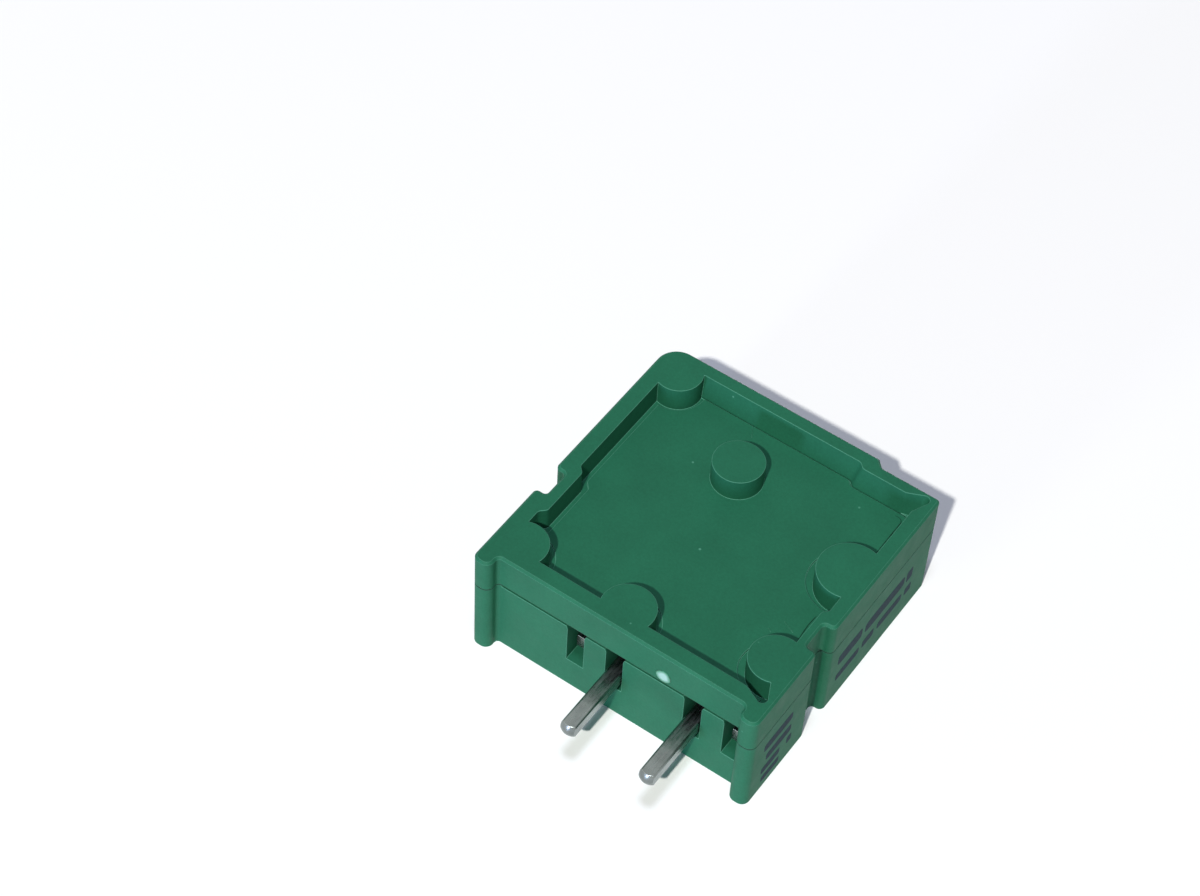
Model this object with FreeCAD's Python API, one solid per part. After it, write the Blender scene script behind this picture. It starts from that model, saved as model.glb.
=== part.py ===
"""One-pole screw terminal block for a printed board, lying on its broad side.

Lengths are millimetres. X runs along the row of solder pins, +Y points to the side where the wire
and the screwdriver go in, and +Z passes up through the cover. Sizes are laid out from the corner
of the pin side; the finished pieces are then moved so that the origin is the middle of the
block's footprint, pins included, on the face that it lies on.
"""
import FreeCAD, Part
import math
import os

V = FreeCAD.Vector
past = 1.0               # cuts run this far past the faces that they open
touch = 1e-6             # lengths below this count as nothing

# Fits between pieces
fit = 0.05               # flat faces of pieces that are dropped into each other
running_fit = 0.05       # radial, screw in its nut and in the frame
slide_gap = 0.25         # moving pieces above the floor and below the cover

# Clamp screw
screw_radius = 1.5
head_overhang = 0.35     # head past the shank
head_thickness = 1.2
head_gap = 0.1           # head to the faces that hold it captive
driver_slot_width = 0.6
driver_slot_depth = 0.6
screw_tail = 0.3         # screw end to the contact bar
screw_lead = 0.375       # bevel of the screw end

# Clamp frame, bent from strip
frame_thickness = 0.8
frame_bend = 0.9         # outer bend radius
frame_bridge = 0.9       # height of the strip that passes over the wire

# Contact bar with its solder pins
bar_thickness = 0.9
bar_bend = 1.1
pin_size = 0.9
pin_edge = 0.16          # rounded long edges
pin_reach = 4.4          # tip below the pin side
pin_nose = 0.75          # length of the rounded end
pin_flat = 0.16          # radius of the flat left at the very tip
pin_swell = 0.75         # radius round the pin that its end curves out to, in pin sizes
stub_setback = 0.75      # cropped tabs, behind the pin side

# Wire space, jaw and wedge
wire_space = 3.0         # between the contact bar and the open jaw
jaw_stroke = 2.2
jaw_nose = 0.45          # thin end of the jaw
wedge_slope = 0.6        # sideways rise for each millimetre along the screw
wedge_length = 5.0
nut_wall_thin = 0.45     # metal left beside the thread
nut_wall_back = 0.7
end_gap = 0.08           # wedge at the end of its travel to the frame
wedge_start = 0.25       # contact bar to the open wedge
guide_wall = 1.0         # housing wall between wire and wedge

# Housing
pin_wall = 1.65
left_wall = 1.9
right_wall = 2.65
floor_thickness = 1.1
chamber_margin = 0.25    # screw head to chamber floor and to cover
access_radius = 1.67     # screwdriver hole
access_length = 4.05
foot_width = 1.15
foot_reach = 0.85
foot_round = 0.48
corner_round = 1.3       # large corner between wire side and first end
edge_round = 0.25
groove_depth = 0.7       # upright grooves in both ends
groove_near = 4.95
groove_far = 6.72
groove_lip_round = 0.35
mark_step = 0.45         # set-back of the pole number's field
mark_length = 3.75
mark_slant = 0.45
seam_gap = 0.07          # line between housing and cover
pin_side_gap = 0.2       # deeper line above the slots

# Slots for pins and stubs
slot_play = 0.2          # slot wider than its pin
slot_floor = 2.18
slot_round = 0.5
slot_steps = (0.0, 2.5, 7.5, 10.0)
pin_slots = (1, 2)

# Wire funnel
mouth_width = 6.18
mouth_height = 4.2
mouth_overhang = 0.88    # mouth past the wire hole, towards the first end
mouth_lip = 0.5          # plastic left under the mouth
mouth_round = 0.35
funnel_depth = 3.4
hole_height = 3.0
hole_lift = 0.1          # wire hole above the chamber floor
hole_round = 0.5

# Cover
panel_thickness = 0.83
recess_depth = 1.47
recess_slope = 0.3       # the wire side's wall leans by this much over its height
recess_round = 0.3
moat_depth = 0.14        # channel in the recess floor, along its walls
moat_width = 0.28
moat_far_width = 0.07    # along the wire side
moat_at_boss = 0.36      # round a boss that grows out of the rim
moat_boss_shift = 0.14   # its circle lies this much towards the first end and the wire side
rim_pin_side = 1.04
rim_first_end = 1.05
rim_last_end = 0.9
rim_wire_side = 0.85
rim_mark_side = 0.72
rim_at_groove = 0.72     # plastic between groove and recess on the first end
rim_last_groove = 0.5
jog_near = 0.85          # thick rim before and after the groove
jog_far = 0.55
ear_run = 0.9            # relief corners of the recess, before rounding
ear_reach = 0.5
ear_round = 0.3
top_bevel = 0.13
peg_radius = 0.5
peg_length = 1.4
peg_play = 0.05
peg_behind_bar = 0.25    # contact bar to the peg in the near corner of the last end
socket_wall = 0.11
free_boss_shift = 1.07   # free-standing boss past the open jaw
gate_radius = 0.7
gate_sink = 0.12
gate_pip_radius = 0.23
gate_pip_height = 0.08
gate_past_groove = 1.84

# Places that follow from the sizes above
head_radius = screw_radius + head_overhang
chamber_height = 2 * (head_radius + chamber_margin)
seam = floor_thickness + chamber_height
thickness = seam + panel_thickness + recess_depth
screw_z = floor_thickness + chamber_height / 2
bore_radius = screw_radius + running_fit

frame_left = left_wall + fit
bar_left = frame_left + frame_thickness + fit
bar_inner = bar_left + bar_thickness
jaw_front = bar_inner + wire_space
wedge_x = jaw_front + jaw_nose + fit
wedge_rise = wedge_length * wedge_slope
screw_x = wedge_x + wedge_rise + nut_wall_thin + bore_radius
wedge_back = screw_x + bore_radius + nut_wall_back
frame_right = wedge_back + fit
length = frame_right + frame_thickness + fit + right_wall

bar_front = pin_wall + fit
bar_back = bar_front + bar_thickness
wedge_y = bar_back + wedge_start
wedge_travel = jaw_stroke / wedge_slope
frame_front = wedge_y + wedge_length + wedge_travel + end_gap
block_y = frame_front + frame_thickness + fit
head_y = block_y + head_gap
pocket_end = head_y + head_thickness + head_gap
depth = pocket_end + access_length

slot_width = pin_size + slot_play
last_slot = length - foot_width - slot_width / 2
slots = [last_slot - slot_steps[-1] + step for step in slot_steps]
pin_offset = slot_play / 2 - fit   # pins stand close to one side of their slots
moving_low = floor_thickness + slide_gap
moving_high = seam - slide_gap

# Round bosses of the cover: middle, radius, and whether a peg hangs below
bosses = {
    "first_near": (1.62, 1.47, 1.50, True),
    "near_middle": (8.54, 1.42, 1.55, False),
    "last_near": (length - 1.48, bar_back + peg_behind_bar + peg_radius, 1.52, True),
    "last_side": (length - 1.43, 10.46, 1.85, True),
    "first_far": (1.52, depth - 1.48, 1.44, True),
    "free_standing": (jaw_front + free_boss_shift, block_y + socket_wall + peg_radius, 1.49, True),
}


def rounded_wire(corners):
    """Closed flat wire through corners (x, y, radius), each rounded by a tangent arc.

    Where a side is too short for the arcs at its ends, they shrink until they meet."""
    count = len(corners)
    places = [V(x, y, 0) for x, y, _ in corners]
    sides = [places[(i + 1) % count] - here for i, here in enumerate(places)]
    halves = [(sides[i - 1] * -1).getAngle(side) / 2 for i, side in enumerate(sides)]
    reaches = [radius / math.tan(half) for (_, _, radius), half in zip(corners, halves)]
    shares = [side.Length / max(reaches[i] + reaches[(i + 1) % count], touch)
              for i, side in enumerate(sides)]
    ends, edges = [], []
    for i, here in enumerate(places):
        share = min(1, shares[i - 1], shares[i])
        radius, reach = corners[i][2] * share, reaches[i] * share
        before, after = (sides[i - 1] * -1).normalize(), V(sides[i]).normalize()
        first, last = here + before * reach, here + after * reach
        ends.append((first, last))
        if radius > 0:
            inward = (before + after).normalize()
            middle = here + inward * (radius / math.sin(halves[i]) - radius)
            edges.append(Part.Arc(first, middle, last).toShape())
    for i in range(count):
        here, there = ends[i][1], ends[(i + 1) % count][0]
        if here.distanceToPoint(there) > touch:
            edges.append(Part.makeLine(here, there))
    return Part.Wire(Part.__sortEdges__(edges))


def prism(corners, low, high):
    """Upright prism between two heights."""
    wire = rounded_wire(corners)
    wire.translate(V(0, 0, low))
    return Part.Face(wire).extrude(V(0, 0, high - low))


def block(x0, x1, y0, y1, z0, z1):
    """Plain box between two corners."""
    return Part.makeBox(x1 - x0, y1 - y0, z1 - z0, V(x0, y0, z0))


def standing_wire(corners, y):
    """Wire of (x, z, radius) corners in the upright plane at y."""
    wire = rounded_wire(corners)
    wire.rotate(V(0, 0, 0), V(1, 0, 0), 90)
    wire.translate(V(0, y, 0))
    return wire


def standing_prism(corners, near, far):
    """Prism of (x, z, radius) corners along Y."""
    return Part.Face(standing_wire(corners, near)).extrude(V(0, far - near, 0))


def rectangle(x0, x1, z0, z1, radius):
    """Corners of a rectangle with equal round corners."""
    return [(x0, z0, radius), (x1, z0, radius), (x1, z1, radius), (x0, z1, radius)]


def rod(radius, x, z, near, far):
    """Round bar along Y."""
    return Part.makeCylinder(radius, far - near, V(x, near, z), V(0, 1, 0))


def edges_at(shape, height):
    """Edges that lie wholly in one level."""
    return [edge for edge in shape.Edges if edge.BoundBox.ZLength < touch
            and all(abs(v.Z - height) < touch for v in edge.Vertexes)]


def outline():
    """Plan of the block: feet, grooves, large corner and the set-back field of the pole number."""
    mark_x = length - mark_length
    groove_left, groove_right = groove_depth, length - groove_depth
    return [
        (0, -foot_reach, foot_round),
        (foot_width, -foot_reach, foot_round),
        (foot_width, 0, edge_round),
        (length - foot_width, 0, edge_round),
        (length - foot_width, -foot_reach, foot_round),
        (length, -foot_reach, foot_round),
        (length, groove_near, edge_round),
        (groove_right, groove_near, edge_round),
        (groove_right, groove_far, edge_round),
        (length, groove_far, groove_lip_round),
        (length, depth - mark_step, edge_round),
        (mark_x, depth - mark_step, edge_round),
        (mark_x - mark_slant, depth, edge_round),
        (0, depth, corner_round),
        (0, groove_far, groove_lip_round),
        (groove_left, groove_far, edge_round),
        (groove_left, groove_near, edge_round),
        (0, groove_near, edge_round),
    ]


def lean_at(level):
    """How far the wire side's wall stands inside its top line at a level."""
    return recess_slope * (thickness - level) / recess_depth


def recess_corners(inset, wire_inset):
    """Plan of the recess: its rim is thicker beside the grooves and beside the pole number."""
    wide_left, wide_right = rim_first_end + inset, length - rim_last_end - inset
    tight_left = groove_depth + rim_at_groove + inset
    tight_right = length - groove_depth - rim_last_groove - inset
    slant_left, slant_right = tight_left - wide_left, wide_right - tight_right
    near, far = rim_pin_side + inset, depth - rim_wire_side - wire_inset
    mark_far = depth - mark_step - rim_mark_side - wire_inset
    mark_x = length - mark_length - mark_slant - rim_mark_side / 2 - wire_inset
    groove_start, groove_end = groove_near - jog_near - inset, groove_far + jog_far + inset
    points = [
        (wide_left, near), (wide_right, near),
        (wide_right, groove_start - slant_right), (tight_right, groove_start),
        (tight_right, groove_end), (wide_right, groove_end + slant_right),
        (wide_right, mark_far), (mark_x, mark_far),
        (mark_x - far + mark_far, far), (wide_left, far),
        (wide_left, groove_end + slant_left), (tight_left, groove_end),
        (tight_left, groove_start), (wide_left, groove_start - slant_left),
    ]
    return [(x, y, recess_round) for x, y in points]


def ear_corners(side, level):
    """Relief in a last-end corner of the recess: side -1 towards the pins, 1 towards the wire."""
    lean = lean_at(level)
    reach = ear_reach * (1 - lean / recess_slope) + ear_round
    x = length - rim_last_end
    y = rim_pin_side if side < 0 else depth - mark_step - rim_mark_side - lean
    return [
        (x - ear_run, y, 0), (x - ear_run, y - side * ear_run, 0), (x, y - side * ear_run, 0),
        (x + reach, y + side * reach, ear_round),
    ]


def tapered(low_corners, high_corners, low, high):
    """Solid between two like outlines at two heights."""
    wires = [rounded_wire(low_corners), rounded_wire(high_corners)]
    wires[0].translate(V(0, 0, low))
    wires[1].translate(V(0, 0, high))
    return Part.makeLoft(wires, True, True)


def boss_rods(low, high, wider=0, shift=0, skipped=()):
    """Round columns where the bosses stand, or wider ones that are shifted off their middles."""
    return [Part.makeCylinder(radius + wider, high - low, V(x - shift, y + shift, low))
            for name, (x, y, radius, _) in bosses.items() if name not in skipped]


def moat(floor):
    """Shallow channel round the floor of the recess, along the rim and the bosses in it."""
    low = floor - moat_depth
    channel = prism(recess_corners(0, lean_at(floor)), low, floor)
    island = prism(recess_corners(moat_width, lean_at(floor) + moat_far_width), low, floor)
    island = island.cut(boss_rods(low, floor, moat_at_boss, moat_boss_shift, ("free_standing",)))
    return channel.cut(island).cut(boss_rods(low, floor))


def recess():
    """The space inside the cover's rim, with the bosses left standing."""
    floor, top = seam + panel_thickness, thickness + top_bevel
    body = tapered(recess_corners(0, lean_at(floor)), recess_corners(0, lean_at(top)), floor, top)
    for side in (-1, 1):
        body = body.fuse(tapered(ear_corners(side, floor), ear_corners(side, top), floor, top))
    return body.cut(boss_rods(floor, top)).fuse(moat(floor))


def pegs(radius, low):
    """Round pegs under the bosses, from the seam down to a level."""
    return [Part.makeCylinder(radius, seam - low, V(x, y, low))
            for x, y, _, has_peg in bosses.values() if has_peg]


def cover():
    """Lid with rim, bosses, recess and the pegs that close the block."""
    body = prism(outline(), seam, thickness)
    body = body.makeChamfer(top_bevel, edges_at(body, thickness))
    body = body.cut(recess())
    return body.fuse(pegs(peg_radius, seam - peg_length)).removeSplitter()


def slot_corners(x):
    """Upright slot for a pin; its shoulders at the seam are round, except against the foot."""
    half, top = slot_width / 2, seam + past
    shoulder = half + slot_round
    left = [(x - shoulder, top, 0), (x - shoulder, seam, 0), (x - half, seam, slot_round)]
    right = [(x + half, seam, slot_round), (x + shoulder, seam, 0), (x + shoulder, top, 0)]
    if x == last_slot:
        right = [(x + half, top, 0)]
    return left + [(x - half, slot_floor, 0), (x + half, slot_floor, 0)] + right


def clamp_chamber():
    """Room for the contact bar, the frame and the moving clamp, open towards the cover."""
    top = seam + past
    low, back, guide_x = floor_thickness, bar_back + fit, jaw_front + slide_gap
    bar_room = block(bar_left - fit, last_slot + slot_width / 2, pin_wall, back, low, top)
    frame_room = block(left_wall, length - right_wall, back, block_y, low, top)
    guide = block(guide_x, guide_x + guide_wall,
                  wedge_y + wedge_length + slide_gap, frame_front - fit, low, top)
    return bar_room.fuse(frame_room.cut(guide))


def head_pocket():
    """Pocket that holds the screw head captive, open towards the cover."""
    radius = head_radius + head_gap
    round_part = rod(radius, screw_x, screw_z, block_y, pocket_end)
    drop_in = block(screw_x - radius, screw_x + radius, block_y, pocket_end, screw_z, seam + past)
    return round_part.fuse(drop_in)


def wire_funnel():
    """Tapered mouth that leads a stripped wire into the clamp, and the square hole behind it."""
    left, low = bar_inner + fit, floor_thickness + hole_lift
    right, high = left + wire_space - 2 * fit, low + hole_height
    mouth_x, far = left - mouth_overhang, depth
    mouth = rectangle(mouth_x, mouth_x + mouth_width,
                      mouth_lip, mouth_lip + mouth_height, mouth_round)
    hole = rectangle(left, right, low, high, hole_round)
    inner = far - funnel_depth
    funnel = Part.makeLoft([standing_wire(hole, inner), standing_wire(mouth, far)], True, True)
    lead = standing_prism(mouth, far, far + past)
    tunnel = standing_prism(hole, block_y - fit, inner)
    return [funnel, lead, tunnel]


def gate_dish(middle, axis):
    """Shallow dish in a moulded face where the plastic was fed in, with the pip left there."""
    dish = Part.makeCylinder(gate_radius, gate_sink, middle, axis)
    foot = middle + axis * (gate_sink - gate_pip_height)
    return dish.cut(Part.makeCylinder(gate_pip_radius, gate_pip_height, foot, axis))


def housing():
    """Moulded body: feet, pin slots, clamp chamber, wire funnel, driver hole and peg sockets."""
    body = prism(outline(), 0, seam - seam_gap)
    neck = rounded_wire(outline()).makeOffset2D(-seam_gap)
    neck.translate(V(0, 0, seam - seam_gap))
    body = body.fuse(Part.Face(neck).extrude(V(0, 0, seam_gap)))
    body = body.cut(block(foot_width + edge_round, length - foot_width - edge_round,
                          -foot_reach, pin_side_gap, seam - pin_side_gap, seam))
    body = body.cut(clamp_chamber())
    body = body.cut(head_pocket())
    body = body.cut([standing_prism(slot_corners(x), -past, pin_wall + fit) for x in slots])
    body = body.cut(rod(access_radius, screw_x, screw_z, pocket_end - fit, depth + past))
    body = body.cut(wire_funnel())
    body = body.cut(pegs(peg_radius + peg_play, seam - peg_length - 2 * peg_play))
    return body.cut(gate_dish(V(0, groove_far + gate_past_groove, screw_z), V(1, 0, 0)))


def pin(x, z):
    """Square solder pin with rounded long edges and a rounded end."""
    half, wide = pin_size / 2, pin_size * pin_swell
    section = rectangle(x - half, x + half, z - half, z + half, pin_edge)
    shank = standing_prism(section, -pin_reach, bar_front)
    shoulder, bulge = pin_nose - pin_reach, math.sqrt(0.5)
    curve = Part.Arc(
        V(x + pin_flat, -pin_reach, z),
        V(x + pin_flat + (wide - pin_flat) * bulge, shoulder - pin_nose * bulge, z),
        V(x + wide, shoulder, z),
    ).toShape()
    sides = Part.makePolygon([V(x + wide, shoulder, z), V(x + wide, bar_front, z), V(x, bar_front, z),
                              V(x, -pin_reach, z), V(x + pin_flat, -pin_reach, z)])
    envelope = Part.Face(Part.Wire([curve] + sides.Edges))
    return shank.common(envelope.revolve(V(x, 0, z), V(0, 1, 0), 360))


def contact_bar():
    """Bent current bar with two long solder pins and two cropped tabs."""
    right = slots[-1] + pin_offset + pin_size / 2
    inner_bend = max(bar_bend - bar_thickness, 0)
    end = frame_front - max(2 * fit, frame_bend - frame_thickness)   # clear of the frame's bend
    bar = prism([
        (bar_left, bar_front, bar_bend), (right, bar_front, 0), (right, bar_back, 0),
        (bar_inner, bar_back, inner_bend), (bar_inner, end, 0), (bar_left, end, 0),
    ], moving_low, moving_high)
    half = pin_size / 2
    for i, x in enumerate(slots):
        middle = x + pin_offset
        if i in pin_slots:
            bar = bar.fuse(pin(middle, screw_z))
        else:
            bar = bar.fuse(block(middle - half, middle + half, stub_setback, bar_front,
                                 screw_z - half, screw_z + half))
    return bar.removeSplitter()


def clamp_frame():
    """Steel strip bent to a U that holds wedge and bar together, bridging over the wire."""
    low, high = floor_thickness + fit, seam - 2 * fit
    back, inner_bend = block_y - fit, max(frame_bend - frame_thickness, 0)
    outer_right, inner_left = frame_right + frame_thickness, frame_left + frame_thickness
    frame = prism([
        (frame_left, wedge_y, 0), (inner_left, wedge_y, 0), (inner_left, frame_front, inner_bend),
        (frame_right, frame_front, inner_bend), (frame_right, wedge_y, 0), (outer_right, wedge_y, 0),
        (outer_right, back, frame_bend), (frame_left, back, frame_bend),
    ], low, high)
    start, end = frame_front - past, back + past
    gate = block(bar_inner, bar_inner + wire_space, start, end, 0, high - frame_bridge)
    return frame.cut(gate).cut(rod(bore_radius, screw_x, screw_z, start, end))


def clamp_screw():
    """Captive screw with a slotted head."""
    tail = bar_back + screw_tail
    shank = rod(screw_radius, screw_x, screw_z, tail, head_y)
    lead = [edge for edge in shank.Edges if edge.BoundBox.YMax < tail + touch]
    shank = shank.makeChamfer(screw_lead, lead)
    head = rod(head_radius, screw_x, screw_z, head_y, head_y + head_thickness)
    slot_y, slot_half = head_y + head_thickness - driver_slot_depth, driver_slot_width / 2
    slot = block(screw_x - head_radius, screw_x + head_radius, slot_y, pocket_end,
                 screw_z - slot_half, screw_z + slot_half)
    return shank.fuse(head).cut(slot)


def clamp_wedge():
    """Nut with a slanted side that pushes the jaw when the screw draws it along."""
    far = wedge_y + wedge_length
    body = prism([
        (wedge_x, wedge_y, 0), (wedge_back, wedge_y, 0), (wedge_back, far, 0),
        (wedge_x + wedge_rise, far, 0),
    ], moving_low, moving_high)
    return body.cut(rod(bore_radius, screw_x, screw_z, wedge_y - past, far + past))


def clamp_jaw():
    """Pressure piece between wedge and wire, with the same slant on its back."""
    near, far = wedge_y, wedge_y + wedge_length + slide_gap - fit
    nose, heel = jaw_front + jaw_nose, jaw_front + jaw_nose + wedge_rise - 2 * fit
    return prism([
        (jaw_front, near, edge_round), (nose, near, 0),
        (heel, near + (heel - nose) / wedge_slope, 0),
        (heel, far, edge_round), (jaw_front, far, edge_round),
    ], moving_low, moving_high)


def main():
    """Write one STEP file for each piece."""
    os.makedirs("parts", exist_ok=True)
    place = V(-length / 2, -(depth - pin_reach) / 2, 0)
    pieces = {
        "housing": housing(),
        "cover": cover(),
        "contact_bar": contact_bar(),
        "clamp_frame": clamp_frame(),
        "clamp_screw": clamp_screw(),
        "clamp_wedge": clamp_wedge(),
        "clamp_jaw": clamp_jaw(),
    }
    for name, shape in pieces.items():
        shape.translate(place)
        shape.exportStep("parts/" + name + ".step")
        print(name, shape.isValid(), "volume %.2f mm3" % shape.Volume)


main()
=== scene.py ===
import math

import bpy
import numpy as np
from bpy.props import FloatProperty, FloatVectorProperty, PointerProperty
from mathutils import Matrix, Vector


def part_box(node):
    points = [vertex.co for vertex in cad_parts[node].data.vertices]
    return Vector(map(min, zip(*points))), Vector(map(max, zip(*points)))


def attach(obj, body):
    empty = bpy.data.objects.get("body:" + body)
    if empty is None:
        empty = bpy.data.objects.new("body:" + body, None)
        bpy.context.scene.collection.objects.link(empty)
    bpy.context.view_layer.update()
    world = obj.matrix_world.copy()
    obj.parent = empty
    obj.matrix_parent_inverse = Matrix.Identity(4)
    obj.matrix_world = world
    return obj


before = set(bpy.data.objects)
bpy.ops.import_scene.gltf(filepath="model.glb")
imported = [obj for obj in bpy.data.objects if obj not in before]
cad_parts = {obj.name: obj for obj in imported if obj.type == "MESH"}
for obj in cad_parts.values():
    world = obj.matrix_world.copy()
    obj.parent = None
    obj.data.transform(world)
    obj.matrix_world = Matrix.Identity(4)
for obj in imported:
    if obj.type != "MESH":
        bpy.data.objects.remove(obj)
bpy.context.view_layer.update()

bl_info = {
    "name": "Terminal Block Dressing",
    "version": (1, 0, 0),
    "blender": (4, 5, 0),
    "location": "View3D > Sidebar > Terminal Block",
    "description": "Gives a screw terminal block its plastic, metal, printed marks and studio",
    "category": "Object",
}

MM = 0.001
X_AXIS, Y_AXIS, Z_AXIS = np.eye(3)

# Sizes of the block that its boxes don't tell
PANEL = 0.83 * MM                      # cover's floor above the seam
FOOT_REACH = 0.85 * MM                 # feet beyond the pin side
MARK_STEP = 0.45 * MM                  # set-back of the pole number's field
SEAM_GAP = 0.07 * MM                   # line left open between housing and cover
HEAD_THICKNESS = 1.2 * MM              # screw head, which has no thread

# Places on the block
HOUSING_LOW, HOUSING_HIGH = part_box("housing")
LAST_END = HOUSING_HIGH.x
PIN_SIDE = HOUSING_LOW.y + FOOT_REACH
WIRE_SIDE = HOUSING_HIGH.y
SEAM = HOUSING_HIGH.z
RECESS_FLOOR = SEAM + PANEL
GATE_MIDDLE = (LAST_END - 6.14 * MM, PIN_SIDE, SEAM + 0.52 * MM)

# Printed bars: start and end from the pin side, height of the middle, half width, in mm
END_BARS = (
    (0.53, 3.30, 3.85, 0.36), (0.84, 3.30, 2.72, 0.34), (0.51, 2.31, 1.70, 0.30),
    (2.97, 3.45, 1.70, 0.30), (0.61, 2.35, 0.82, 0.26), (7.80, 10.25, 3.45, 0.46),
    (10.55, 14.65, 3.35, 0.46), (14.85, 15.50, 3.30, 0.46), (7.80, 10.20, 1.85, 0.32),
    (10.50, 11.70, 1.90, 0.34), (12.05, 14.60, 1.90, 0.34), (14.90, 15.60, 1.90, 0.34),
)

# Strokes of the pole number: x from the last end and z of both ends, in mm
NUMBER_STROKES = (((-0.90, 2.20), (-0.90, 3.20)), ((-0.90, 3.20), (-2.90, 2.50)))

# Lines on the recess floor: x from the last end and y from the pin side of both ends, in mm
FLOW_LINES = (
    ((-11.59, 16.71), (-11.16, 15.94)),
    ((-2.93, 6.55), (-2.13, 6.19)),
    ((-3.36, 5.66), (-3.10, 5.54)),
)
FLOW_HALF_HEIGHT = 0.03 * MM

# Step of the recess floor beside the last end's rim, its points given in the same way
STEP_BY_GROOVE = ((-1.68, 5.95), (-1.76, 7.10), (-1.73, 7.85))
STEP_BY_RIM = ((-1.39, 13.34), (-1.39, 16.11), (-1.90, 16.11))
STEP_ROUND = 0.3                       # radius of the corner by the rim, in mm
STEP_HALF_WIDTH, STEP_HALF_HEIGHT = 0.035 * MM, 0.010 * MM

# Lamps: direction from the block, in any unit, and colour
KEY_FROM, KEY_COLOUR = (1.6, -6.3, 7.6), (1.0, 0.985, 0.93)
FRONT_FROM, FRONT_COLOUR = (-0.6, -7.6, 0.6), (0.85, 1.0, 1.5)
TOP_FROM, TOP_COLOUR = (0.45, -1.2, 7.6), (0.92, 0.96, 1.15)
AMBIENT_COLOUR, WHITE = (0.90, 0.97, 1.22, 1.0), (1.0, 1.0, 1.0, 1.0)

# Camera, its places in metres
CAMERA_PLACE = (0.044736, -0.079840, 0.128379)
CAMERA_TARGET = (-0.011133, 0.007697, 0.0)
CAMERA_ROLL = math.radians(3.532)


# Surfaces

def grid_faces(rows, columns):
    """Quads of a grid whose columns close on themselves: corner (i, j) to (i + 1, j + 1)."""
    i, j = np.meshgrid(np.arange(rows - 1), np.arange(columns), indexing="ij")
    following = (j + 1) % columns
    quads = np.stack([i * columns + j, i * columns + following,
                      (i + 1) * columns + following, (i + 1) * columns + j], axis=-1)
    return quads.reshape(-1, 4)


def capped_grid_object(name, grids):
    """One mesh from grids of points (piece, row, column, xyz). Each piece is closed by a fan at its
    first and last row, at the mean of that row's points."""
    pieces, rows, columns, _ = grids.shape
    ends = np.stack([grids[:, 0].mean(axis=1), grids[:, -1].mean(axis=1)], axis=1)
    points = np.concatenate([grids.reshape(pieces, -1, 3), ends], axis=1)
    size = rows * columns + 2
    offsets = np.arange(pieces) * size
    quads = (grid_faces(rows, columns)[None] + offsets[:, None, None]).reshape(-1, 4)
    ring = np.arange(columns)
    following = (ring + 1) % columns
    first = np.stack([np.full(columns, size - 2), following, ring], axis=-1)
    last = np.stack([np.full(columns, size - 1), ring + size - 2 - columns,
                     following + size - 2 - columns], axis=-1)
    fans = (np.concatenate([first, last])[None] + offsets[:, None, None]).reshape(-1, 3)
    mesh = bpy.data.meshes.new(name)
    mesh.from_pydata(points.reshape(-1, 3).tolist(), [], quads.tolist() + fans.tolist())
    mesh.validate()
    mesh.polygons.foreach_set("use_smooth", np.ones(len(mesh.polygons), dtype=bool))
    mesh.update()
    piece = bpy.data.objects.new(name, mesh)
    bpy.context.scene.collection.objects.link(piece)
    return piece


def pads(middles, along, across, half_lengths, half_widths, half_height, squareness,
         flatness=0.25, shoulder=0.6, rows=17, columns=48):
    """Flat closed pads, one for each middle: superellipsoids.

    With c(t, q) = sign(cos t) |cos t|^q and s(t, q) likewise from the sine, a point is
    middle + a c(v, flatness) c(u, squareness) along + b c(v, flatness) s(u, squareness) across
    + h s(v, shoulder) (along x across), where u runs round the pad and v from its lower to its
    upper pole, a and b are its half lengths and h its half height."""
    u = np.linspace(0.0, 2 * np.pi, columns, endpoint=False)
    v = np.linspace(-0.499 * np.pi, 0.499 * np.pi, rows)
    along, across = np.atleast_2d(along), np.atleast_2d(across)
    upward = np.cross(along, across)

    def power(value, exponent):
        return np.sign(value) * np.abs(value) ** exponent

    waist = power(np.cos(v), flatness)[:, None]
    length = (waist * power(np.cos(u), squareness))[None] * np.reshape(half_lengths, (-1, 1, 1))
    width = (waist * power(np.sin(u), squareness))[None] * np.reshape(half_widths, (-1, 1, 1))
    level = half_height * power(np.sin(v), shoulder)
    height = np.broadcast_to(level[None, :, None], length.shape)
    return (np.asarray(middles)[:, None, None] + length[..., None] * along[:, None, None]
            + width[..., None] * across[:, None, None]
            + height[..., None] * upward[:, None, None])


def ridges(paths, half_width, half_height, columns=12):
    """Low ridges along level paths, given as points (ridge, step, xyz).

    At each step t, from 0.01 to 0.99, an ellipse stands across the path, with half axes
    half_width and half_height times (sin pi t)^0.4, so that both ends run out."""
    steps = paths.shape[1]
    t = np.linspace(0.01, 0.99, steps)
    taper = np.sin(np.pi * t) ** 0.4
    direction = np.gradient(paths, axis=1)
    direction /= np.linalg.norm(direction, axis=2, keepdims=True)
    sideways = np.cross(Z_AXIS, direction)
    angle = np.linspace(0.0, 2 * np.pi, columns, endpoint=False)
    wide = (taper[:, None] * np.cos(angle))[None, ..., None] * half_width
    high = (taper[:, None] * np.sin(angle))[None, ..., None] * half_height
    return paths[:, :, None] - wide * sideways[:, :, None] + high * Z_AXIS


def floor_path(corners, steps):
    """Points at equal steps of length on the recess floor, along the open line through corners
    given in mm from the last end and from the pin side."""
    places = np.asarray(corners) * MM + (LAST_END, PIN_SIDE)
    points = np.column_stack([places, np.full(len(places), RECESS_FLOOR)])
    run = np.concatenate([[0.0], np.cumsum(np.linalg.norm(np.diff(points, axis=0), axis=1))])
    stops = np.linspace(0.0, run[-1], steps)
    return np.stack([np.interp(stops, run, points[:, axis]) for axis in range(3)], axis=-1)


# Materials

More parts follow.
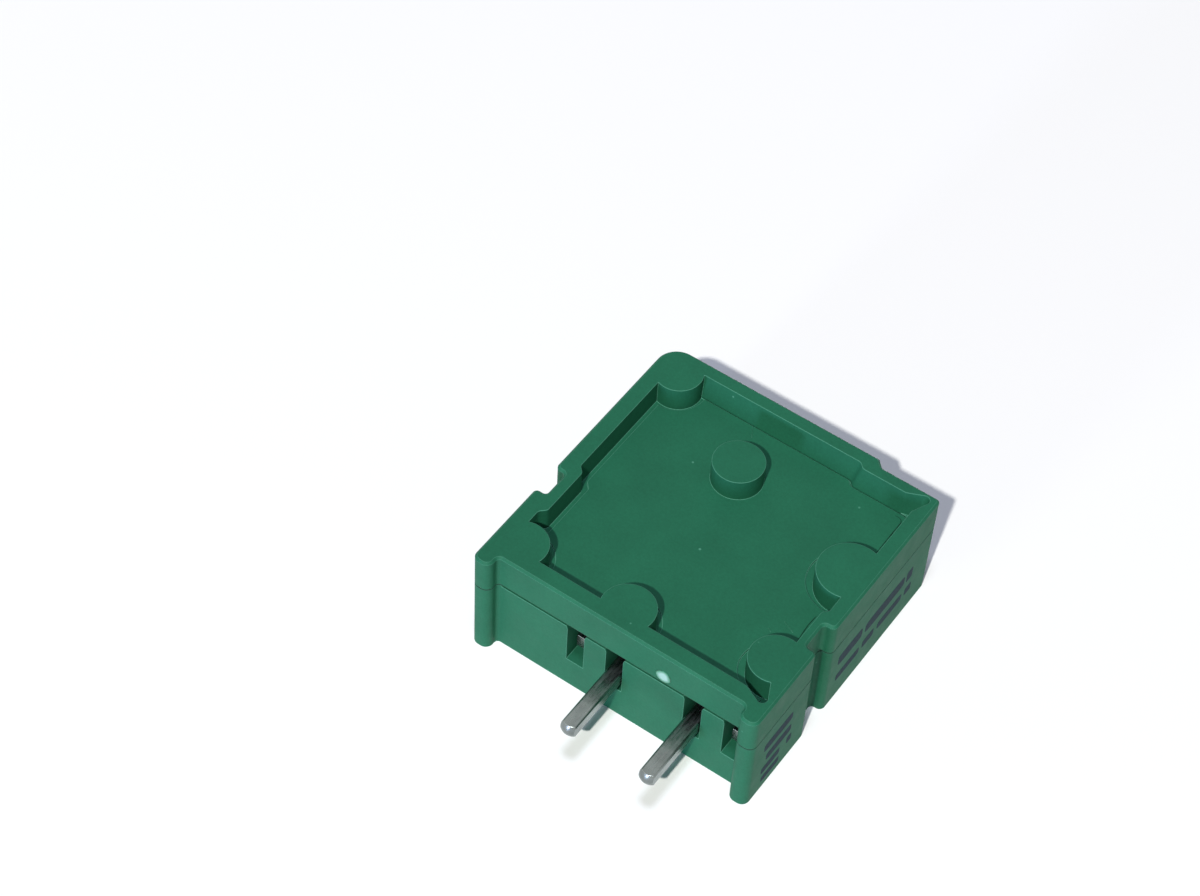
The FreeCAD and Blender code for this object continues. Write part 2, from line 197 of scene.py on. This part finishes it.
MIXED = 2                                # colour output of a Mix node
FIRST_COLOUR, SECOND_COLOUR = 6, 7       # its colour inputs


class Finish:
    """A material under construction, with short calls for the nodes used here."""

    def __init__(self, name):
        self.material = bpy.data.materials.new(name)
        self.material.use_nodes = True
        self.tree = self.material.node_tree
        self.tree.nodes.clear()
        self.shader = self.add("ShaderNodeBsdfPrincipled")
        self.output = self.add("ShaderNodeOutputMaterial")
        self.join(self.shader, "BSDF", self.output, "Surface")
        self.place = self.add("ShaderNodeTexCoord")

    def add(self, kind, **settings):
        """New node of a kind, with its settings."""
        node = self.tree.nodes.new(kind)
        for key, value in settings.items():
            setattr(node, key, value)
        return node

    def join(self, source, output, target, socket):
        self.tree.links.new(source.outputs[output], target.inputs[socket])

    def give(self, source, output, socket):
        """Joins an output to a socket of the surface."""
        self.join(source, output, self.shader, socket)

    def constant(self, socket, value):
        self.shader.inputs[socket].default_value = value

    def mapped(self, scale):
        """Object coordinates, stretched by scale."""
        mapping = self.add("ShaderNodeMapping")
        mapping.inputs["Scale"].default_value = scale
        self.join(self.place, "Object", mapping, "Vector")
        return mapping

    def split_place(self):
        """Object coordinates, one output for each axis."""
        split = self.add("ShaderNodeSeparateXYZ")
        self.join(self.place, "Object", split, "Vector")
        return split

    def noise(self, size, detail=4.0, stretch=(1.0, 1.0, 1.0), roughness=0.5):
        """Noise whose lumps are about size metres across."""
        node = self.add("ShaderNodeTexNoise")
        node.inputs["Scale"].default_value = 1.0
        node.inputs["Detail"].default_value = detail
        node.inputs["Roughness"].default_value = roughness
        self.join(self.mapped(tuple(share / size for share in stretch)), "Vector", node, "Vector")
        return node

    def ramp(self, node, output, low, high, dark, light):
        """Maps a value between low and high to one between dark and light."""
        ramp = self.add("ShaderNodeMapRange")
        ramp.inputs["From Min"].default_value = low
        ramp.inputs["From Max"].default_value = high
        ramp.inputs["To Min"].default_value = dark
        ramp.inputs["To Max"].default_value = light
        self.join(node, output, ramp, "Value")
        return ramp

    def blend(self, factor, factor_output, first, second):
        """Mix of two colours; each is a colour or a (node, output) pair."""
        mix = self.add("ShaderNodeMix", data_type="RGBA")
        self.join(factor, factor_output, mix, "Factor")
        for socket, part in ((FIRST_COLOUR, first), (SECOND_COLOUR, second)):
            if isinstance(part[0], bpy.types.Node):
                self.join(*part, mix, socket)
            else:
                mix.inputs[socket].default_value = (*part, 1.0)
        return mix

    def mottled(self, node, output, low, high, first, second):
        """Mix of two colours by a value: the first up to low, the second from high on."""
        return self.blend(self.ramp(node, output, low, high, 0.0, 1.0), "Result", first, second)

    def multiply(self, first, second):
        """Product of two colours, each a (node, output) pair."""
        mix = self.add("ShaderNodeMix", data_type="RGBA", blend_type="MULTIPLY")
        mix.inputs["Factor"].default_value = 1.0
        self.join(*first, mix, FIRST_COLOUR)
        self.join(*second, mix, SECOND_COLOUR)
        return mix

    def math(self, operation, *parts):
        """Math node; each part is a number or a (node, output) pair."""
        node = self.add("ShaderNodeMath", operation=operation)
        for index, part in enumerate(parts):
            if isinstance(part, tuple):
                self.join(*part, node, index)
            else:
                node.inputs[index].default_value = part
        return node

    def bump(self, height, output, distance, normal=None):
        """Relief of a height times distance metres, on top of the normal of another node."""
        node = self.add("ShaderNodeBump")
        node.inputs["Strength"].default_value = 1.0
        node.inputs["Distance"].default_value = distance
        self.join(height, output, node, "Height")
        if normal is not None:
            self.join(normal, "Normal", node, "Normal")
        return node

    def soft_edges(self, radius):
        """Normals that turn over edges within radius."""
        node = self.add("ShaderNodeBevel", samples=8)
        node.inputs["Radius"].default_value = radius
        return node

    def edge_mask(self, soft):
        """0 on flat faces and towards 1 on edges, from how far the softened normal turns."""
        geometry = self.add("ShaderNodeNewGeometry")
        dot = self.add("ShaderNodeVectorMath", operation="DOT_PRODUCT")
        self.join(soft, "Normal", dot, 0)
        self.join(geometry, "Normal", dot, 1)
        return self.ramp(dot, "Value", 0.995, 0.80, 0.0, 1.0)


def seam_shadow(finish):
    """1 away from the joint of housing and cover, down to a dark line of painted shadow along it.
    """
    above = finish.math("SUBTRACT", (finish.split_place(), "Z"), SEAM - SEAM_GAP / 2)
    off = finish.math("ABSOLUTE", (above, 0))
    return finish.ramp(off, 0, 0.6 * SEAM_GAP, SEAM_GAP, 0.3, 1.0)


def scuffs(finish):
    """Tiny pale spots, at the middles of about a third of the cells of a loose pattern."""
    cells = finish.add("ShaderNodeTexVoronoi")
    cells.inputs["Scale"].default_value = 1.0
    finish.join(finish.mapped((1 / (1.5 * MM),) * 3), "Vector", cells, "Vector")
    spot = finish.ramp(cells, "Distance", 0.03, 0.06, 1.0, 0.0)
    chosen = finish.ramp(cells, "Color", 0.62, 0.66, 0.0, 1.0)
    return finish.math("MULTIPLY", (spot, 0), (chosen, 0))


def shade(colour, factor):
    return tuple(min(1.0, part * factor) for part in colour)


def moulded_plastic(settings):
    """Matt green moulding: cloudy pigment, fine spark-eroded grain, flow mottle, painted highlights
    on the edges, tiny scuffs and a painted shadow along the seam."""
    finish = Finish("moulded_green_plastic")
    soft = finish.soft_edges(settings.edge_softness)
    cloud = finish.noise(3.2 * MM, detail=3.0)
    clouded = finish.mottled(cloud, "Fac", 0.3, 0.7,
                             shade(settings.colour, 0.93), shade(settings.colour, 1.08))
    speck = finish.noise(settings.grain_size * 1.4, detail=2.0, roughness=0.7)
    tone = finish.ramp(speck, "Fac", 0.3, 0.7, 0.93, 1.07)
    grained = finish.multiply((clouded, MIXED), (tone, "Result"))
    # Painted highlight: edges paler by how far the softened normal turns
    painted_edge_highlight = finish.math("MULTIPLY", (finish.edge_mask(soft), "Result"), settings.edge_highlight_strength)
    scuffed = finish.math("MULTIPLY", (scuffs(finish), 0), settings.scuff_paleness)
    scuffs_and_highlight = finish.math("MAXIMUM", (painted_edge_highlight, 0), (scuffed, 0))
    # The edges carry a painted highlight; the tiny pale spots are real scuffs
    scuffed_and_highlighted = finish.blend(scuffs_and_highlight, 0, (grained, MIXED), settings.edge_highlight_colour)
    # Painted shadow: a dark line along the seam, standing in for the shade in the gap
    joined = finish.blend(seam_shadow(finish), "Result", shade(settings.colour, 0.2), (scuffed_and_highlighted, MIXED))
    finish.give(joined, MIXED, "Base Color")
    mottle = finish.noise(0.9 * MM, detail=3.0)
    rough = finish.ramp(mottle, "Fac", 0.25, 0.75,
                        settings.roughness - 0.05, settings.roughness + 0.06)
    finish.give(rough, "Result", "Roughness")
    finish.constant("Specular IOR Level", 0.15)
    flow = finish.bump(mottle, "Fac", 0.010 * MM, soft)
    grain = finish.noise(settings.grain_size, detail=3.0, roughness=0.6)
    finish.give(finish.bump(grain, "Fac", 0.006 * MM, flow), "Normal", "Normal")
    return finish.material


def plated_metal(name, colour, roughness, stretch):
    """Plated strip or bar: rolled streaks along one direction, dull patches and bright edges."""
    finish = Finish(name)
    soft = finish.soft_edges(0.05 * MM)
    patch = finish.noise(0.8 * MM, detail=4.0)
    tone = finish.mottled(patch, "Fac", 0.35, 0.65, shade(colour, 0.8), shade(colour, 1.05))
    # Brighter towards the edges, by how far the softened normal turns
    edge_brightened = finish.blend(finish.edge_mask(soft), "Result", (tone, MIXED), shade(colour, 2.4))
    finish.give(edge_brightened, MIXED, "Base Color")
    finish.constant("Metallic", 1.0)
    streak = finish.noise(0.12 * MM, detail=4.0, stretch=stretch, roughness=0.6)
    rough = finish.ramp(streak, "Fac", 0.3, 0.7, roughness - 0.08, roughness + 0.12)
    finish.give(rough, "Result", "Roughness")
    dents = finish.bump(patch, "Fac", 0.015 * MM, soft)
    finish.give(finish.bump(streak, "Fac", 0.006 * MM, dents), "Normal", "Normal")
    return finish


def threaded_steel(settings):
    """Turned screw: a thread as a wave of the height along the screw plus the turn round it."""
    finish = plated_metal("turned_screw_steel", settings.steel_colour, settings.roughness,
                          (1.0, 1.0, 1.0))
    low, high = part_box("clamp_screw")
    split = finish.split_place()
    side = finish.math("SUBTRACT", (split, "X"), (low.x + high.x) / 2)
    rise = finish.math("SUBTRACT", (split, "Z"), (low.z + high.z) / 2)
    turn = finish.math("ARCTAN2", (rise, 0), (side, 0))
    turns = finish.math("DIVIDE", (turn, 0), 2 * math.pi)
    climb = finish.math("DIVIDE", (split, "Y"), settings.thread_pitch)
    wave = finish.math("PINGPONG", (finish.math("ADD", (climb, 0), (turns, 0)), 0), 0.5)
    on_shank = finish.math("LESS_THAN", (split, "Y"), high.y - HEAD_THICKNESS)
    thread = finish.math("MULTIPLY", (wave, 0), (on_shank, 0))
    plated = finish.shader.inputs["Normal"].links[0].from_node
    finish.give(finish.bump(thread, 0, settings.thread_pitch, plated), "Normal", "Normal")
    return finish.material


def printing_ink(settings):
    """Dark laser or pad print, matt, with a ragged density."""
    finish = Finish("dark_print")
    density = finish.noise(0.16 * MM, detail=4.0, roughness=0.7)
    colour = finish.mottled(density, "Fac", 0.35, 0.7,
                            settings.ink_colour, shade(settings.ink_colour, 2.0))
    finish.give(colour, MIXED, "Base Color")
    finish.constant("Roughness", 0.7)
    finish.constant("Specular IOR Level", 0.1)
    finish.give(finish.bump(density, "Fac", 0.004 * MM), "Normal", "Normal")
    return finish.material


def blush_with_painted_shade_ring(settings):
    """Pale blushed plastic, as left where a gate was broken off, with a painted shade ring round
    it.
    """
    finish = Finish("blushed_plastic_painted_shade_ring")
    off = finish.add("ShaderNodeVectorMath", operation="DISTANCE")
    finish.join(finish.place, "Object", off, 0)
    off.inputs[1].default_value = GATE_MIDDLE
    uneven = finish.noise(0.35 * MM, detail=3.0)
    ragged = finish.math("MULTIPLY_ADD", (uneven, "Fac"), 0.16 * MM, (off, "Value"))
    inner = finish.mottled(ragged, 0, 0.30 * MM, 0.50 * MM,
                           settings.blush_colour, shade(settings.colour, 1.9))
    # Painted shade: a dark ring round the pale blushed mark
    colour = finish.mottled(ragged, 0, 0.49 * MM, 0.55 * MM,
                            (inner, MIXED), shade(settings.colour, 0.45))
    finish.give(colour, MIXED, "Base Color")
    finish.constant("Roughness", 0.35)
    torn = finish.noise(0.12 * MM, detail=3.0)
    finish.give(finish.bump(torn, "Fac", 0.02 * MM), "Normal", "Normal")
    return finish.material


def painted_shadow_plastic(settings):
    """Dark green of the narrow lines where the recess floor steps down beside the rim, painted as
    their shadow.
    """
    finish = Finish("painted_shadow_green_plastic")
    patch = finish.noise(0.4 * MM, detail=3.0)
    colour = finish.mottled(patch, "Fac", 0.3, 0.7,
                            shade(settings.colour, 0.18), shade(settings.colour, 0.5))
    finish.give(colour, MIXED, "Base Color")
    finish.constant("Roughness", 0.7)
    finish.constant("Specular IOR Level", 0.1)
    finish.give(finish.bump(patch, "Fac", 0.005 * MM), "Normal", "Normal")
    return finish.material


def floor_paint(settings):
    """Plain pale floor with a barely visible unevenness."""
    finish = Finish("pale_floor")
    uneven = finish.noise(40 * MM, detail=2.0)
    colour = finish.mottled(uneven, "Fac", 0.3, 0.7,
                            shade(settings.floor_colour, 0.995), settings.floor_colour)
    finish.give(colour, MIXED, "Base Color")
    finish.constant("Roughness", 0.9)
    finish.constant("Specular IOR Level", 0.0)
    return finish.material


def dress(node, material):
    """Puts one material in every slot of a CAD node."""
    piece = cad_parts[node]
    piece.data.materials.clear()
    piece.data.materials.append(material)


# Settings

class BlockPlasticSettings(bpy.types.PropertyGroup):
    """Look of the moulded housing and cover."""
    colour: FloatVectorProperty(
        name="Plastic colour", description="Base colour of housing and cover",
        subtype="COLOR", size=3, min=0.0, max=1.0, default=(0.0145, 0.122, 0.065))
    # Colour of the painted highlight that the edges are lightened towards
    edge_highlight_colour: FloatVectorProperty(
        name="Edge colour", description="Paler colour of the edges",
        subtype="COLOR", size=3, min=0.0, max=1.0, default=(0.14, 0.42, 0.30))
    # How strongly the painted edge highlight is laid on
    edge_highlight_strength: FloatProperty(
        name="Edge paleness", description="How far the edges go towards their own colour",
        subtype="FACTOR", min=0.0, max=1.0, default=0.70)
    scuff_paleness: FloatProperty(
        name="Scuff paleness", description="How far tiny scuffs go towards the edges' colour",
        subtype="FACTOR", min=0.0, max=1.0, default=0.5)
    blush_colour: FloatVectorProperty(
        name="Gate colour", description="Pale colour of the broken gate",
        subtype="COLOR", size=3, min=0.0, max=1.0, default=(0.30, 0.52, 0.46))
    grain_size: FloatProperty(
        name="Grain", description="Size of the fine moulded grain",
        unit="LENGTH", min=0.00001, default=0.00011)
    edge_softness: FloatProperty(
        name="Edge rounding", description="Radius by which shading softens the edges",
        unit="LENGTH", min=0.0, default=0.00007)
    roughness: FloatProperty(
        name="Roughness", description="Roughness of the moulded surface",
        subtype="FACTOR", min=0.0, max=1.0, default=0.60)


class BlockMetalSettings(bpy.types.PropertyGroup):
    """Look of the contact bar, clamp frame, wedge, jaw and screw."""
    tin_colour: FloatVectorProperty(
        name="Tin colour", description="Colour of contact bar and solder pins",
        subtype="COLOR", size=3, min=0.0, max=1.0, default=(0.235, 0.265, 0.255))
    steel_colour: FloatVectorProperty(
        name="Steel colour", description="Colour of frame, jaw and screw",
        subtype="COLOR", size=3, min=0.0, max=1.0, default=(0.60, 0.61, 0.62))
    wedge_colour: FloatVectorProperty(
        name="Wedge colour", description="Colour of the nickel-plated wedge",
        subtype="COLOR", size=3, min=0.0, max=1.0, default=(0.70, 0.69, 0.66))
    roughness: FloatProperty(
        name="Roughness", description="Roughness of the plating",
        subtype="FACTOR", min=0.0, max=1.0, default=0.26)
    thread_pitch: FloatProperty(
        name="Thread pitch", description="Rise of the screw thread in one turn",
        unit="LENGTH", min=0.0001, default=0.0005)


class BlockPrintSettings(bpy.types.PropertyGroup):
    """Printed marks on the last end and the pole number beside the screwdriver hole."""
    ink_colour: FloatVectorProperty(
        name="Ink colour", description="Colour of the printed marks",
        subtype="COLOR", size=3, min=0.0, max=1.0, default=(0.010, 0.024, 0.034))
    ink_height: FloatProperty(
        name="Ink height", description="How far the print stands proud",
        unit="LENGTH", min=0.0, default=0.000008)
    stroke_width: FloatProperty(
        name="Stroke width", description="Width of the pole number's strokes",
        unit="LENGTH", min=0.00005, default=0.00022)


class BlockSurfaceSettings(bpy.types.PropertyGroup):
    """Small traces that moulding left on the cover."""
    gate_length: FloatProperty(
        name="Gate length", description="Length of the oval gate mark on the pin side",
        unit="LENGTH", min=0.0001, default=0.00095)
    gate_width: FloatProperty(
        name="Gate width", description="Width of the oval gate mark on the pin side",
        unit="LENGTH", min=0.0001, default=0.00090)
    gate_height: FloatProperty(
        name="Gate height", description="How far the gate mark stands proud",
        unit="LENGTH", min=0.0, default=0.00003)
    flow_line_width: FloatProperty(
        name="Flow line width", description="Width of the weld and flow lines in the recess",
        unit="LENGTH", min=0.00002, default=0.00007)


class BlockStudioSettings(bpy.types.PropertyGroup):
    """Floor, lights and camera."""
    floor_size: FloatProperty(
        name="Floor size", description="Side of the square floor",
        unit="LENGTH", min=0.1, default=6.0)
    floor_colour: FloatVectorProperty(
        name="Floor colour", description="Colour of the pale floor",
        subtype="COLOR", size=3, min=0.0, max=1.0, default=(0.98, 0.98, 0.97))
    key_power: FloatProperty(
        name="Key power", description="Power of the main lamp",
        unit="POWER", min=0.0, default=34.7)
    key_size: FloatProperty(
        name="Key size", description="Width of the main lamp",
        unit="LENGTH", min=0.01, default=0.06)
    key_distance: FloatProperty(
        name="Key distance", description="Main lamp from the block",
        unit="LENGTH", min=0.05, default=2.0)
    front_power: FloatProperty(
        name="Front power", description="Power of the low lamp before the pin side",
        unit="POWER", min=0.0, default=3.3)
    top_power: FloatProperty(
        name="Top power", description="Power of the soft lamp above the block",
        unit="POWER", min=0.0, default=3.1)
    front_size: FloatProperty(
        name="Front size", description="Width of the front lamp",
        unit="LENGTH", min=0.01, default=0.14)
    top_size: FloatProperty(
        name="Top size", description="Width of the top lamp",
        unit="LENGTH", min=0.01, default=0.18)
    fill_distance: FloatProperty(
        name="Fill distance", description="Front and top lamp from the block",
        unit="LENGTH", min=0.05, default=1.0)
    ambient: FloatProperty(
        name="Ambient", description="Strength of the light from all round",
        min=0.0, default=0.06)
    lens: FloatProperty(
        name="Lens", description="Focal length", unit="CAMERA", min=1.0, default=85.478)


# Operators

def finish_piece(piece, body, material):
    """Gives a new piece its material and body."""
    piece.data.materials.append(material)
    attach(piece, body)


class TERMINAL_OT_dress_plastic(bpy.types.Operator):
    """Give housing and cover their moulded green plastic"""
    bl_idname = "terminal.dress_plastic"
    bl_label = "Dress Housing and Cover"

    def execute(self, context):
        plastic = moulded_plastic(context.scene.terminal_plastic)
        dress("housing", plastic)
        dress("cover", plastic)
        return {"FINISHED"}


class TERMINAL_OT_dress_metal(bpy.types.Operator):
    """Give contact bar, frame, wedge, jaw and screw their plated metal"""
    bl_idname = "terminal.dress_metal"
    bl_label = "Dress Metal Pieces"

    def execute(self, context):
        settings = context.scene.terminal_metal
        rough = settings.roughness
        tin = plated_metal("tinned_bar", settings.tin_colour, rough, (1.0, 0.12, 1.0))
        strip = plated_metal("zinc_plated_strip", settings.steel_colour, rough, (1.0, 1.0, 0.12))
        wedge = plated_metal("nickel_plated_wedge", settings.wedge_colour, rough, (1.0, 0.2, 1.0))
        dress("contact_bar", tin.material)
        dress("clamp_frame", strip.material)
        dress("clamp_jaw", strip.material)
        dress("clamp_wedge", wedge.material)
        dress("clamp_screw", threaded_steel(settings))
        return {"FINISHED"}


class TERMINAL_OT_print_end_marks(bpy.types.Operator):
    """Print plain dark bars on the last end"""
    bl_idname = "terminal.print_end_marks"
    bl_label = "Print End Marks"

    def execute(self, context):
        settings = context.scene.terminal_print
        start, end, height, half_width = np.array(END_BARS).T * MM
        middles = np.stack([np.full_like(start, LAST_END), PIN_SIDE + (start + end) / 2, height],
                           axis=-1)
        grids = pads(middles, Y_AXIS, Z_AXIS, (end - start) / 2, half_width,
                     settings.ink_height, squareness=0.35)
        piece = capped_grid_object("end_marks", grids)
        finish_piece(piece, "block", printing_ink(settings))
        return {"FINISHED"}


class TERMINAL_OT_print_pole_number(bpy.types.Operator):
    """Print the pole number on its set-back field of the wire side"""
    bl_idname = "terminal.print_pole_number"
    bl_label = "Print Pole Number"

    def execute(self, context):
        settings = context.scene.terminal_print
        half_width = settings.stroke_width / 2
        strokes = np.array(NUMBER_STROKES) * MM
        field = np.full(strokes.shape[:2], WIRE_SIDE - MARK_STEP)
        ends = np.stack([strokes[..., 0] + LAST_END, field, strokes[..., 1]], axis=-1)
        run = ends[:, 1] - ends[:, 0]
        length = np.linalg.norm(run, axis=1)
        along = run / length[:, None]
        grids = pads(ends.mean(axis=1), along, np.cross(Y_AXIS, along), length / 2 + half_width,
                     np.full(len(run), half_width), settings.ink_height, squareness=0.5)
        piece = capped_grid_object("pole_number", grids)
        finish_piece(piece, "block", printing_ink(settings))
        return {"FINISHED"}


class TERMINAL_OT_add_gate_mark(bpy.types.Operator):
    """Add the pale oval left on the cover's pin side where the gate was broken off"""
    bl_idname = "terminal.add_gate_mark"
    bl_label = "Add Gate Mark"

    def execute(self, context):
        surface = context.scene.terminal_surface
        grids = pads([GATE_MIDDLE], X_AXIS, Z_AXIS, [surface.gate_length / 2],
                     [surface.gate_width / 2], surface.gate_height, squareness=1.0)
        piece = capped_grid_object("gate_mark", grids)
        material = blush_with_painted_shade_ring(context.scene.terminal_plastic)
        finish_piece(piece, "block", material)
        return {"FINISHED"}


class TERMINAL_OT_add_flow_lines(bpy.types.Operator):
    """Add the weld line and the faint flow lines that moulding left on the recess floor"""
    bl_idname = "terminal.add_flow_lines"
    bl_label = "Add Flow Lines"

    def execute(self, context):
        half_width = context.scene.terminal_surface.flow_line_width / 2
        paths = np.stack([floor_path(ends, steps=24) for ends in FLOW_LINES])
        piece = capped_grid_object("flow_lines", ridges(paths, half_width, FLOW_HALF_HEIGHT))
        finish_piece(piece, "block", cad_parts["cover"].data.materials[0])
        return {"FINISHED"}


class TERMINAL_OT_add_step_line(bpy.types.Operator):
    """Add the two lines, painted dark as shadow, where the recess floor steps down beside the last
    end's rim
    """
    bl_idname = "terminal.add_step_line"
    bl_label = "Add Step Line"

    def execute(self, context):
        start, corner, stop = np.array(STEP_BY_RIM)
        angle = np.radians(np.linspace(0, 90, 7))
        bend = corner - STEP_ROUND * (1 - np.stack([np.cos(angle), np.sin(angle)], axis=-1))
        by_rim = np.vstack([start, bend, stop])
        paths = np.stack([floor_path(line, steps=48) for line in (STEP_BY_GROOVE, by_rim)])
        piece = capped_grid_object("step_line", ridges(paths, STEP_HALF_WIDTH, STEP_HALF_HEIGHT))
        # Painted shadow: the lines' dark material stands in for the shade at the step
        material = painted_shadow_plastic(context.scene.terminal_plastic)
        finish_piece(piece, "block", material)
        return {"FINISHED"}


def camera_matrix(place, target, roll):
    """Camera at place that looks at target, its picture turned by roll."""
    forward = (target - place).normalized()
    level_right = forward.cross(Vector((0, 0, 1))).normalized()
    level_up = level_right.cross(forward)
    right = level_right * math.cos(roll) + level_up * math.sin(roll)
    up = -level_right * math.sin(roll) + level_up * math.cos(roll)
    turn = Matrix((right, up, -forward)).transposed()
    return Matrix.Translation(place) @ turn.to_4x4()


def add_area_lamp(name, direction, distance, size, power, colour):
    """Round soft lamp that shines on the block from a direction."""
    lamp = bpy.data.lights.new(name, "AREA")
    lamp.shape = "DISK"
    lamp.size = size
    lamp.energy = power
    lamp.color = colour
    holder = bpy.data.objects.new(name, lamp)
    bpy.context.scene.collection.objects.link(holder)
    direction = Vector(direction).normalized()
    holder.matrix_world = (Matrix.Translation(direction * distance)
                           @ direction.to_track_quat("Z", "Y").to_matrix().to_4x4())


def add_background(tree, colour, strength):
    """Background node of one colour and strength."""
    background = tree.nodes.new("ShaderNodeBackground")
    background.inputs["Color"].default_value = colour
    background.inputs["Strength"].default_value = strength
    return background


def pale_world(strength):
    """Even bluish light from all round, seen as plain white by camera, gloss and glass."""
    world = bpy.data.worlds.new("pale_surroundings")
    world.use_nodes = True
    tree = world.node_tree
    tree.nodes.clear()
    output = tree.nodes.new("ShaderNodeOutputWorld")
    mix = tree.nodes.new("ShaderNodeMixShader")
    light = add_background(tree, AMBIENT_COLOUR, strength)
    seen = add_background(tree, WHITE, 1.0)
    path = tree.nodes.new("ShaderNodeLightPath")
    looked_at = path.outputs["Is Camera Ray"]
    for ray in ("Is Glossy Ray", "Is Transmission Ray"):
        either = tree.nodes.new("ShaderNodeMath")
        either.operation = "MAXIMUM"
        tree.links.new(looked_at, either.inputs[0])
        tree.links.new(path.outputs[ray], either.inputs[1])
        looked_at = either.outputs[0]
    tree.links.new(looked_at, mix.inputs["Fac"])
    tree.links.new(light.outputs[0], mix.inputs[1])
    tree.links.new(seen.outputs[0], mix.inputs[2])
    tree.links.new(mix.outputs[0], output.inputs["Surface"])
    bpy.context.scene.world = world


def add_floor(settings):
    """Square floor at the height that the block lies on."""
    half = settings.floor_size / 2
    corners = [(-half, -half, 0), (half, -half, 0), (half, half, 0), (-half, half, 0)]
    mesh = bpy.data.meshes.new("floor")
    mesh.from_pydata(corners, [], [(0, 1, 2, 3)])
    mesh.materials.append(floor_paint(settings))
    floor = bpy.data.objects.new("floor", mesh)
    bpy.context.scene.collection.objects.link(floor)


def add_camera(lens):
    """Camera that stands where the photo was taken from."""
    camera = bpy.data.cameras.new("photo_camera")
    camera.lens = lens
    camera.sensor_width = 36.0
    camera.clip_start = 0.005
    camera.clip_end = 20.0
    holder = bpy.data.objects.new("photo_camera", camera)
    bpy.context.scene.collection.objects.link(holder)
    holder.matrix_world = camera_matrix(Vector(CAMERA_PLACE), Vector(CAMERA_TARGET), CAMERA_ROLL)
    bpy.context.scene.camera = holder


class TERMINAL_OT_set_stage(bpy.types.Operator):
    """Set up floor, lights, surroundings and camera"""
    bl_idname = "terminal.set_stage"
    bl_label = "Set Stage"

    def execute(self, context):
        settings = context.scene.terminal_studio
        near = settings.fill_distance
        add_floor(settings)
        add_area_lamp("key_lamp", KEY_FROM, settings.key_distance, settings.key_size,
                      settings.key_power, KEY_COLOUR)
        add_area_lamp("front_lamp", FRONT_FROM, near, settings.front_size,
                      settings.front_power, FRONT_COLOUR)
        add_area_lamp("top_lamp", TOP_FROM, near, settings.top_size, settings.top_power, TOP_COLOUR)
        pale_world(settings.ambient)
        add_camera(settings.lens)
        context.scene.view_settings.view_transform = "Standard"
        return {"FINISHED"}


OPERATORS = (
    TERMINAL_OT_dress_plastic,
    TERMINAL_OT_dress_metal,
    TERMINAL_OT_print_end_marks,
    TERMINAL_OT_print_pole_number,
    TERMINAL_OT_add_gate_mark,
    TERMINAL_OT_add_flow_lines,
    TERMINAL_OT_add_step_line,
    TERMINAL_OT_set_stage,
)

SETTINGS = {
    "terminal_plastic": BlockPlasticSettings,
    "terminal_metal": BlockMetalSettings,
    "terminal_print": BlockPrintSettings,
    "terminal_surface": BlockSurfaceSettings,
    "terminal_studio": BlockStudioSettings,
}


class VIEW3D_PT_terminal_block(bpy.types.Panel):
    """Sidebar list of the steps that dress the terminal block"""
    bl_label = "Terminal Block"
    bl_idname = "VIEW3D_PT_terminal_block"
    bl_space_type = "VIEW_3D"
    bl_region_type = "UI"
    bl_category = "Terminal Block"

    def draw(self, context):
        for operator in OPERATORS:
            self.layout.operator(operator.bl_idname)


def register():
    for settings in SETTINGS.values():
        bpy.utils.register_class(settings)
    for name, settings in SETTINGS.items():
        setattr(bpy.types.Scene, name, PointerProperty(type=settings))
    for operator in OPERATORS:
        bpy.utils.register_class(operator)
    bpy.utils.register_class(VIEW3D_PT_terminal_block)


def unregister():
    bpy.utils.unregister_class(VIEW3D_PT_terminal_block)
    for operator in reversed(OPERATORS):
        bpy.utils.unregister_class(operator)
    for name, settings in SETTINGS.items():
        delattr(bpy.types.Scene, name)
        bpy.utils.unregister_class(settings)


def main():
    register()
    bpy.ops.terminal.dress_plastic()
    bpy.ops.terminal.dress_metal()
    bpy.ops.terminal.print_end_marks()
    bpy.ops.terminal.print_pole_number()
    bpy.ops.terminal.add_gate_mark()
    bpy.ops.terminal.add_flow_lines()
    bpy.ops.terminal.add_step_line()
    bpy.ops.terminal.set_stage()


if __name__ == "__main__":
    main()
